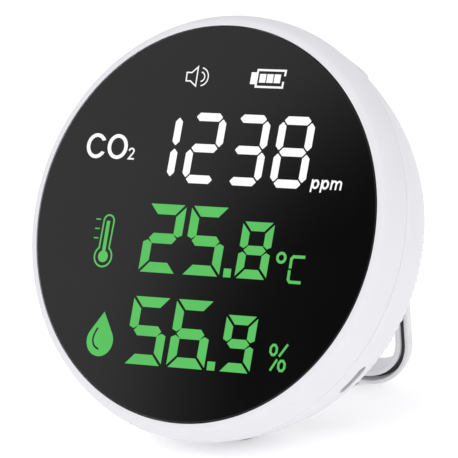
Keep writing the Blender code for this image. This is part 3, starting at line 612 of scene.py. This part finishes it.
def make_rear_case(mats):
    """Bowl-shaped back with the stand's recess, the vents, the USB and button openings and screw holes."""
    skin = [(0, SEAM + 0.05), (53.7, SEAM + 0.05)] + smooth_curve(REAR_SKIN) + [(0, BACK_DEPTH)]
    shell = turned("rear_case", skin, mats["white_plastic"])
    window = [side + 2 * GAP for side in BUTTON_SIZE]
    heads = [(arc(x, z, 2.1, steps=32), seat, 41.4) for (x, z), seat in zip(BOSSES, SCREW_SEATS)]
    cuts = [rear_cavity()] + stand_room_cutters() + [
        slot_cutter("usb", side_basis(USB_ANGLE, USB_DEPTH), (9.2, 3.3), 44.0, 52.1, 0.35, 56.0),
        slot_cutter("button", side_basis(BUTTON_ANGLE, BUTTON_DEPTH), window, 47.0, 52.2, 0.12, 56.0),
        prisms("pad", [(rounded_outline(14.6, 6.4, 3.19), 55.0, 58.0)], None, pad_basis()),
        prisms("shanks", [(arc(x, z, SHANK_HOLE, steps=24), 18, 41.3) for x, z in BOSSES], None),
        prisms("heads", heads, None),
    ]
    slit = [(a, b + VENT_DEPTH) for a, b in rounded_outline(*VENT_SIZE, VENT_SIZE[0] / 2 - 0.01, 4)]
    for turn in VENT_ANGLES:
        for angle in (turn, math.pi - turn):
            cuts.append(prisms("vent", [(slit, 45.0, 52.0)], None, side_basis(angle, 0)))
    carve(shell, [("DIFFERENCE", cutter) for cutter in cuts])
    finish_piece(shell, "case", ["rear_housing"])


# Stand

def stand_section(depth):
    """Rounded section of the stand as (inset, depth) pairs: outer edge, groove, inner wall, sloped back."""
    w = STAND_WIDTH
    start, end, floor = GROOVE
    outer_edge = [(0.0, 1.3, 0.4), (0.0, 0.0, 0.42)]
    channel = [(start, 0.0, 0.22), (start, floor, 0.3), (end, floor, 0.3), (end, 0.0, 0.3)]
    inner_wall = [(w, 0.0, 0.6), (w, depth, 0.6), (w - 1.4, depth, 0.9)]
    back = [(1.1, depth * 0.69, 1.0), (0.4, depth * 0.5, 0.5)]
    return filleted(outer_edge + channel + inner_wall + back)


def eased(share):
    """Smooth step from 0 to 1."""
    share = min(1.0, max(0.0, share))
    return share * share * (3 - 2 * share)


def stand_rows(section_at, reach):
    """Sweeps a section, which may change with the height above the loop's foot, round the loop."""
    line = [Vector(point) for point in loop_line(0.0, reach)]
    rows = []
    for i, here in enumerate(line):
        along = (line[min(i + 1, len(line) - 1)] - line[max(i - 1, 0)]).normalized()
        inwards = Vector((-along.y, along.x))
        section = section_at(here.y - (HINGE_HEIGHT - STAND_LENGTH))
        spots = [(here + inwards * inset, depth) for inset, depth in section]
        rows.append([(spot.x, depth - STAND_FRONT, spot.y - HINGE_HEIGHT) for spot, depth in spots])
    return rows


def make_stand(mats):
    """The loop, which deepens towards its foot, and the bored knuckles with their heels at its two ends."""
    def section(height):
        return stand_section(FOOT_DEPTH + (LEG_DEPTH - FOOT_DEPTH) * eased(height / DEEP_FOOT))

    loop = lofted("stand_loop", stand_rows(section, -1.0), mats["grey_plastic"], STAND)
    rounds = [(arc(0, 0, 2.7), a, b) for a, b in KNUCKLE_SPANS]
    knuckles = prisms("knuckles", rounds, None, axle_basis(), STAND)
    soften(knuckles, 0.25)
    heel = [(-2.95, -2.0), (0.5, -2.0), (0.5, 3.4), (-2.95, 3.4)]
    heels = prisms("heels", [(heel, a + 0.2, b - 0.2) for a, b in KNUCKLE_SPANS], None, axle_basis(), STAND)
    soften(heels, 0.2)
    bore = arc(0, 0, PIN_BORE, steps=24)
    bores = prisms("bores", [(bore, a - 1, b + 1) for a, b in KNUCKLE_SPANS], None, axle_basis(), STAND)
    carve(loop, [("UNION", knuckles), ("UNION", heels), ("DIFFERENCE", bores)])
    finish_piece(loop, "stand", ["stand"])


def make_stand_groove_painted_shade(mats):
    """Dark strip in the groove as painted shade for the groove's shadow: near the surface along the legs,
    and sinking to its floor at the foot bar so the painted shade fades there.
    """
    start, end, floor = GROOVE
    thinnest, thickest, clear = 0.1, 1.75, 0.02

    def section(height):
        top = floor - thinnest - (thickest - thinnest) * eased((height - 2.5) / 9.0)
        return box_outline(start + clear, end - clear, top, floor - clear)

    # Black moulding laid in the groove as painted shade, not a real inlay
    strip = lofted("stand_groove_painted_shade", stand_rows(section, -6.0), mats["black_plastic"], STAND)
    finish_piece(strip, "stand")


# Small parts

def make_button(mats):
    """Crowned cap that follows the case's round side, on a flange that keeps it in."""
    side = side_basis(BUTTON_ANGLE, BUTTON_DEPTH)
    length, height = BUTTON_SIZE
    flange = rounded_outline(length + 1.6, height + 1.4, 2.0)
    rows = [[side.at(a, b, 48.3) for a, b in flange], [side.at(a, b, 49.15) for a, b in flange]]
    outline = rounded_outline(length, height, height / 2 - 0.01)
    rows.append([side.at(a, b, 49.2) for a, b in outline])
    for shrink, drop in ((0.0, 0.5), (0.1, 0.24), (0.28, 0.09), (0.55, 0.02), (1.0, 0.0)):
        a_scale, b_scale = 1 - shrink / length * 2, 1 - shrink / height * 2
        row = []
        for a, b in outline:
            across, up = a * a_scale, b * b_scale
            lift = math.sqrt((BUTTON_FACE - drop) ** 2 - across * across) - BUTTON_DRAFT * up
            row.append(side.at(across, up, lift))
        rows.append(row)
    cap = lofted("button_cap", rows, mats["white_plastic"])
    finish_piece(cap, "side_button", ["side_button"], 35.0)


def make_usb(mats):
    """Rolled steel sleeve of the inlet and its tongue with gold contacts."""
    side = side_basis(USB_ANGLE, USB_DEPTH)
    rows = []
    for width, height, level in ((8.4, 2.6, 44.6), (8.4, 2.6, 51.1), (8.2, 2.4, 51.3), (8.0, 2.2, 51.3),
                                 (7.8, 2.0, 51.0), (7.8, 2.0, 45.2)):
        rows.append([side.at(a, b, level) for a, b in rounded_outline(width, height, height / 2 - 0.02)])
    sleeve = lofted("usb_sleeve", rows, mats["bright_steel"])
    finish_piece(sleeve, "case", ["usb_shell"])
    blade = (rounded_outline(6.6, 0.7, 0.2, 4), 45.5, 50.6)
    tongue = prisms("usb_blade", [blade], mats["black_plastic"], side)
    soften(tongue, 0.08)
    finish_piece(tongue, "case", ["usb_tongue"])
    strips = []
    for k in range(12):
        middle = (k - 5.5) * 0.5
        for low, high in ((-0.39, -0.345), (0.345, 0.39)):
            strips.append((box_outline(middle - 0.13, middle + 0.13, low, high), 46.0, 50.2))
    contacts = prisms("usb_contacts", strips, mats["gold_plating"], side)
    finish_piece(contacts, "case")


def cross_recess(x, z, top):
    """Cross-shaped driver recess, as two tapered blades."""
    basis = depth_basis(x, z)
    blades = []
    for along, across in ((0.95, 0.2), (0.2, 0.95)):
        rows = [[basis.at(a * s, b * s, level) for a, b in box_outline(-along, along, -across, across)]
                for s, level in ((0.55, top - 0.75), (1.0, top + 0.1))]
        blades.append(("DIFFERENCE", lofted("blade", rows, None)))
    return blades


def make_housing_screws(mats):
    for index, (x, z) in enumerate(BOSSES):
        seat = SCREW_SEATS[index] + GAP
        head = [(1.8, seat), (1.8, seat + 0.5), (1.66, seat + 0.85), (1.3, seat + 1.08), (0.7, seat + 1.18)]
        profile = [(0, 12.0), (0.3, 12.0), (1.0, 13.4), (1.0, seat)] + head + [(0, seat + 1.18)]
        screw = turned(f"case_screw_{index + 1}", profile, mats["bright_steel"], depth_basis(x, z), 40)
        carve(screw, cross_recess(x, z, seat + 1.18))
        finish_piece(screw, "case", [f"housing_screw_{index + 1}"])


def make_pads(mats):
    """Base foot with a softened rim and shallow grip lines."""
    body = (rounded_outline(*PAD_SIZE, PAD_SIZE[1] / 2 - 0.01), PAD_PLANE - 1.0, PAD_PLANE)
    base = prisms("base_foot", [body], mats["grey_rubber"], pad_basis())
    soften(base, 0.25)
    lines = [(box_outline(1.5 * k - 0.25, 1.5 * k + 0.25, -4, 4), PAD_PLANE - 0.18, PAD_PLANE + 0.7)
             for k in range(-3, 4)]
    carve(base, [("DIFFERENCE", prisms("ribs", lines, None, pad_basis()))])
    finish_piece(base, "case", ["base_pad"])


def dress_frame_nodes(mats):
    """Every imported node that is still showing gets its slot's material."""
    for name, obj in frame["nodes"].items():
        obj.data.materials.clear()
        obj.data.materials.append(mats[SLOTS[name]])


# Display

def slanted(outline, x, z, slant):
    return [(x + a + slant * b, z + b) for a, b in outline]


def mirrored(outline, width=None, height=None):
    """Mirrors an outline across its cell's width or its height."""
    return [(width - a, b) for a, b in outline] if width else [(a, height - b) for a, b in outline]


def mitred_segments(width, height, stroke):
    """Seven segments with mitred corners, keyed a to g."""
    w, h, t = width, height, stroke
    top = [(0.5, h), (w - 0.5, h), (w - t - 0.4, h - t), (t + 0.4, h - t)]
    right = [(w, h - 0.5), (w, h / 2 + 1.0), (w - t / 2, h / 2 + 0.45), (w - t, h / 2 + 1.25),
             (w - t, h - t - 0.5)]
    tip = t / 2 + 0.2
    middle = [(tip, h / 2), (tip + 1.2, h / 2 + t / 2), (w - tip - 1.2, h / 2 + t / 2), (w - tip, h / 2),
              (w - tip - 1.2, h / 2 - t / 2), (tip + 1.2, h / 2 - t / 2)]
    left = mirrored(right, width=w)
    return {"a": top, "b": right, "c": mirrored(right, height=h), "d": mirrored(top, height=h),
            "e": mirrored(left, height=h), "f": left, "g": middle}


def blunt_segments(width, height, stroke):
    """Seven separate bars with blunt 45-degree ends, keyed a to g."""
    w, h, half = width, height, stroke / 2
    blunt = 0.12

    def bar(start, end, level, upright):
        gap = 0.5 if upright else 0.35
        a, b, rise = start + gap, end - gap, half - blunt
        points = [(a, level - blunt), (a + rise, level - half), (b - rise, level - half), (b, level - blunt),
                  (b, level + blunt), (b - rise, level + half), (a + rise, level + half), (a, level + blunt)]
        return [(q, p) for p, q in points] if upright else points

    near, far, low, mid, high = half, w - half, half, h / 2, h - half
    return {"a": bar(near, far, high, False), "b": bar(mid, high, far, True), "c": bar(low, mid, far, True),
            "d": bar(near, far, low, False), "e": bar(low, mid, near, True), "f": bar(mid, high, near, True),
            "g": bar(near, far, mid, False)}


LIT = {"1": "bc", "2": "abged", "3": "abgcd", "5": "afgcd", "6": "afgedc", "8": "abcdefg", "9": "abcdfg"}
GLYPH_FRONT, GLYPH_BACK = -0.02, 0.3


def glyph_prisms(outlines):
    return [(outline, GLYPH_FRONT, GLYPH_BACK) for outline in outlines]


def band(centre_line, width, closed=False):
    """Outline of an even stroke along a line of points; a closed line gives its outer and inner loops."""
    points = [Vector(p) for p in centre_line]
    count = len(points)
    sides = []
    for i, here in enumerate(points):
        before = points[i - 1] if closed or i else here
        after = points[(i + 1) % count] if closed or i < count - 1 else here
        a = (here - before).normalized() if (here - before).length > 1e-9 else (after - here).normalized()
        b = (after - here).normalized() if (after - here).length > 1e-9 else a
        normal = Vector((-(a + b).y, (a + b).x)).normalized()
        reach = width / 2 / max(0.35, normal.dot(Vector((-a.y, a.x))))
        sides.append((here + normal * reach, here - normal * reach))
    if closed:
        return [tuple(p) for p, _ in sides], [tuple(q) for _, q in sides]
    return [tuple(p) for p, _ in sides] + [tuple(q) for _, q in reversed(sides)]


def frame_piece(name, loops, mat):
    """Flat closed strokes: each pair of loops bounds one, and both faces and both walls are built."""
    points, faces = [], []
    for outer, inner in loops:
        count = len(outer)
        first = len(points)
        front, back = GLYPH_FRONT, GLYPH_BACK
        for outline, level in ((outer, front), (inner, front), (inner, back), (outer, back)):
            points += [(a, level, b) for a, b in outline]
        faces += [[first + i for i in face] for face in ring_faces(4, count, True)]
    return add_piece(name, points, faces, mat)


def show(obj):
    return finish_piece(obj, "case", smooth=20.0)


def make_digits(mats):
    """Three readings; each digit's cell is (x, z, width, height, stroke)."""
    gas = [(-20.95 + 13.0 * i, 9.9, 10.4, 17.9, 2.1) for i in range(4)]
    temperature = [(x, -13.1, 11.25, 17.35, 2.6) for x in (-17.2, -4.3)] + [(11.55, -13.1, 9.2, 14.2, 2.3)]
    humidity = [(x, -36.4, 11.25, 17.1, 2.6) for x in (-18.0, -5.1)] + [(10.3, -36.4, 9.2, 14.1, 2.3)]
    rows = (
        ("digits_co2", "1238", blunt_segments, "white", gas, 0.055),
        ("digits_temperature", "258", mitred_segments, "green", temperature, 0.047),
        ("digits_humidity", "569", mitred_segments, "green", humidity, 0.047),
    )
    for name, text, style, tint, cells, slant in rows:
        outlines = []
        for figure, (x, z, width, height, stroke) in zip(text, cells):
            segments = style(width, height, stroke)
            outlines += [slanted(segments[key], x, z, slant) for key in LIT[figure]]
        slot = f"display_{tint}_light"
        show(prisms(name, glyph_prisms(outlines), mats[slot]))
    points = [box_outline(8.2, 10.4, -13.1, -10.9), box_outline(7.0, 9.3, -36.4, -34.2)]
    show(prisms("decimal_points", glyph_prisms(points), mats["display_green_light"]))


def ellipse(x, z, across, up, steps=48):
    return [(x + across * a, z + up * b) for a, b in arc(0, 0, 1.0, steps=steps)]


def open_ring(x, z, outer, inner, mouths, steps=40):
    """A letter C between two ellipses, each (across, up) and each with its own mouth angle to the right."""
    sides = []
    for (across, up), mouth in zip((outer, inner), mouths):
        sides.append([(x + across * a, z + up * b) for a, b in arc(0, 0, 1.0, mouth, 360 - mouth, steps)])
    return sides[0] + sides[1][::-1]


def make_gas_label(mats):
    """The chemical formula, built from a C, an O and a small lowered 2."""
    white = mats["display_white_light"]
    c_letter = open_ring(-34.95, 18.22, (3.05, 3.22), (2.0, 2.28), (29, 36))
    two = band([(-24.8, 17.3), (-24.62, 17.7), (-24.3, 17.9), (-23.9, 17.93), (-23.5, 17.75), (-23.3, 17.35),
                (-23.5, 16.85), (-24.72, 15.3), (-23.05, 15.3)], 0.42)
    show(prisms("label_letters", glyph_prisms([c_letter, two]), white))
    ring = (ellipse(-28.48, 18.25, 3.08, 3.2), ellipse(-28.48, 18.25, 2.02, 2.28))
    show(frame_piece("label_ring", [ring], white))


def make_ppm(mats):
    """Unit after the gas reading, in slanted letters: two p and one m, as stems with bowls and arches."""
    lean, height, stroke, foot = 0.11, 2.4, 0.46, 10.05

    def lean_over(outline):
        return [(a + lean * (b - foot), b) for a, b in outline]

    outlines, rings = [], []
    for x in (30.15, 32.95):
        outlines.append(lean_over(box_outline(x, x + stroke, foot - 0.8, foot + height)))
        centre = x + 1.25, foot + height / 2
        bowl = ellipse(*centre, 1.05, height / 2), ellipse(*centre, 0.5, 0.66)
        rings.append(tuple(lean_over(loop) for loop in bowl))
    x = 35.75
    outlines.append(lean_over(box_outline(x, x + stroke, foot, foot + height)))
    for start in (x, x + 1.38):
        bend = arc(start + 0.97, foot + 1.52, 0.6, 165, 0, 8)
        arch = [(start + 0.3, foot + 1.5)] + bend + [(start + 1.57, foot)]
        outlines.append(lean_over(band(arch, stroke)))
    white = mats["display_white_light"]
    show(prisms("unit_stems", glyph_prisms(outlines), white))
    show(frame_piece("unit_bowls", rings, white))


def make_thermometer(mats):
    green = mats["display_green_light"]
    bulb, top = (-28.47, -9.9), (-28.03, -0.85)
    tube = 1.5
    side = math.degrees(math.asin(tube / 2.6))
    outline = arc(*bulb, 2.6, 90 + side, 450 - side, 40) + arc(*top, tube + 0.03, 0, 180, 16)
    outer, inner = band(outline, 0.45, closed=True)
    show(frame_piece("thermometer_outline", [(outer, inner)], green))
    ticks = [box_outline(-32.0, -30.6, z - 0.16, z + 0.16) for z in (-0.5, -2.9, -5.3)]
    fill = arc(*bulb, 1.5, 110, 430, 30) + [(-27.65, -0.8), (-28.7, -0.8)]
    show(prisms("thermometer_fill", glyph_prisms(ticks + [fill]), green))


def make_droplet(mats):
    """Drop with a dark highlight: its outline swells from a point into a circle."""
    centre, radius, tip = (-25.97, -31.2), 4.0, (-25.65, -23.85)
    reach = math.degrees(math.acos(radius / (tip[1] - centre[1])))
    outline = arc(*centre, radius, 90 + reach, 450 - reach, 40) + [tip]
    drop = prisms("droplet", glyph_prisms([outline]), mats["display_green_light"])
    shine = smooth_curve([(-27.0, -28.0), (-27.8, -29.5), (-28.1, -31.1), (-27.5, -32.6),
                          (-26.05, -33.45)], 5)
    cutter = prisms("shine", [(band(shine, 0.5), -1.0, 1.0)], None)
    carve(drop, [("DIFFERENCE", cutter)])
    show(drop)


def make_degree(mats):
    """Degree ring and a thin segmented C."""
    green = mats["display_green_light"]
    ring = (arc(24.47, -7.35, 1.5, steps=32), arc(24.47, -7.35, 0.76, steps=32))
    show(frame_piece("degree_ring", [ring], green))
    halves = [[(27.35, -9.85), (27.42, -7.5), (27.95, -6.92), (31.3, -6.88)],
              [(27.25, -10.25), (27.2, -12.6), (27.7, -13.2), (30.9, -13.22)]]
    letter = glyph_prisms([band(half, 0.78) for half in halves])
    show(prisms("degree_letter", letter, green))


def make_percent(mats):
    green = mats["display_green_light"]
    rings = []
    for x, z in ((25.7, -30.1), (28.5, -33.85)):
        outer = [(x + 1.3 * a, z + 1.65 * b) for a, b in arc(0, 0, 1.0, 22.5, 382.5, 8)[:8]]
        inner = [(x + 0.6 * a, z + 0.95 * b) for a, b in arc(0, 0, 1.0, 22.5, 382.5, 8)[:8]]
        rings.append((outer, inner))
    show(frame_piece("percent_rings", rings, green))
    slash = [band([(27.45, -31.6), (29.6, -28.5)], 0.62), band([(25.35, -35.2), (27.05, -32.35)], 0.62)]
    show(prisms("percent_slash", glyph_prisms(slash), green))


def make_speaker(mats):
    white = mats["display_white_light"]
    horn = [(-10.42, 37.9), (-8.95, 37.9), (-7.25, 39.4), (-7.38, 34.5), (-9.15, 35.75), (-10.42, 35.75)]
    outer, inner = band(horn, 0.33, closed=True)
    show(frame_piece("speaker_horn", [(outer, inner)], white))
    waves = [band(arc(-6.2, 36.9, radius, -82, 82, 20), 0.3) for radius in (1.2, 2.28)]
    show(prisms("speaker_waves", glyph_prisms(waves), white))


def make_battery_sign(mats):
    """Battery outline with an open right side, its terminal and three charge bars, all leaning slightly."""
    white = mats["display_white_light"]
    path = [(18.35, 36.35), (18.28, 34.88), (10.42, 34.88), (10.65, 39.12), (18.78, 39.12), (18.65, 37.75)]
    shell = band(path, 0.52)
    blocks = [slanted(box_outline(0, 1.85, 0, 2.2), x, 35.95, 0.05) for x in (11.25, 13.4, 15.55)]
    blocks.append([(8.65, 35.5), (10.18, 35.5), (10.32, 38.5), (8.82, 38.5)])
    show(prisms("battery_sign", glyph_prisms([shell] + blocks), white))


def make_display(mats):
    make_digits(mats)
    make_gas_label(mats)
    make_ppm(mats)
    make_thermometer(mats)
    make_droplet(mats)
    make_degree(mats)
    make_percent(mats)
    make_speaker(mats)
    make_battery_sign(mats)


# Studio

FLAG_RADII = (17.0, 31.0)       # dark core and outer edge of the flag, in degrees


def make_floor():
    half = 1.6
    points = [(-half, -half, 0), (half, -half, 0), (half, half, 0), (-half, half, 0)]
    level = Matrix.Identity(4)
    floor = add_piece("studio_floor", [Vector(p) / MM for p in points], [[0, 1, 2, 3]], None, level)
    shader = Shader("studio_paper", (0.95, 0.95, 0.95), 0.9)
    shader.mottle(shader.noise(8.0), (0.94, 0.94, 0.94))
    shader.setting(Emission_Color=(1.0, 1.0, 1.0, 1.0), Emission_Strength=0.26)
    floor.data.materials.append(shader.mat)


def make_light(name, place, target, size, watts, colour=(1.0, 1.0, 1.0), glossy=True):
    data = bpy.data.lights.new(name, "AREA")
    data.shape = "RECTANGLE"
    data.size, data.size_y = size
    data.energy = watts
    data.color = colour
    lamp = bpy.data.objects.new(name, data)
    lamp.location = place
    lamp.rotation_euler = (Vector(target) - Vector(place)).to_track_quat("-Z", "Y").to_euler()
    lamp.visible_glossy = glossy
    bpy.context.scene.collection.objects.link(lamp)


def make_world(strength):
    """White surroundings with one soft-edged black flag ahead of the window, which its gloss picks up."""
    world = bpy.data.worlds.new("studio")
    world.use_nodes = True
    nodes, links = world.node_tree.nodes, world.node_tree.links
    flag = Vector((-0.18, -0.92, 0.34)).normalized()
    dot = nodes.new("ShaderNodeVectorMath")
    dot.operation = "DOT_PRODUCT"
    dot.inputs[1].default_value = flag
    links.new(nodes.new("ShaderNodeTexCoord").outputs["Generated"], dot.inputs[0])
    edge = nodes.new("ShaderNodeMapRange")
    edge.interpolation_type = "SMOOTHSTEP"
    edge.inputs["From Min"].default_value = math.cos(math.radians(FLAG_RADII[1]))
    edge.inputs["From Max"].default_value = math.cos(math.radians(FLAG_RADII[0]))
    edge.inputs["To Min"].default_value = strength
    edge.inputs["To Max"].default_value = 0.06 * strength
    links.new(dot.outputs["Value"], edge.inputs["Value"])
    background = nodes["Background"]
    background.inputs["Color"].default_value = (1.0, 1.0, 1.0, 1.0)
    links.new(edge.outputs["Result"], background.inputs["Strength"])
    bpy.context.scene.world = world


def make_camera():
    """Long lens to the right of the display and a little above it, rolled to match the view."""
    towards = Vector((0.5455, -0.7935, 0.2699)).normalized()
    right = Vector((0.8366, 0.5349, -0.1184)).normalized()
    up = towards.cross(right).normalized()
    right = up.cross(towards)
    face_centre = Vector((0, -PAD_BACK, PAD_PLANE)) * MM
    data = bpy.data.cameras.new("camera")
    data.lens = 304.8
    data.sensor_width = 36.0
    data.clip_end = 20.0
    camera = bpy.data.objects.new("camera", data)
    place = face_centre + right * 6.69 * MM - up * 1.44 * MM + towards * 963.6 * MM
    camera.matrix_world = Matrix.Translation(place) @ Matrix((right, up, towards)).transposed().to_4x4()
    bpy.context.scene.collection.objects.link(camera)
    bpy.context.scene.camera = camera


def make_studio():
    make_floor()
    make_world(0.85)
    make_light("key", (-0.3, -1.5, 1.0), (0, 0, 0.05), (1.2, 1.2), 9.0, glossy=False)
    make_light("fill", (1.0, -0.9, 0.5), (0, 0, 0.05), (0.8, 0.8), 2.4, (0.97, 0.96, 1.0), glossy=False)
    make_camera()
    bpy.context.scene.view_settings.view_transform = "Standard"


def build():
    mats = make_materials()
    dress_frame_nodes(mats)
    make_window(mats)
    make_front_case(mats)
    make_rear_case(mats)
    make_stand(mats)
    make_stand_groove_painted_shade(mats)
    make_button(mats)
    make_usb(mats)
    make_housing_screws(mats)
    make_pads(mats)
    make_display(mats)
    make_studio()


build()
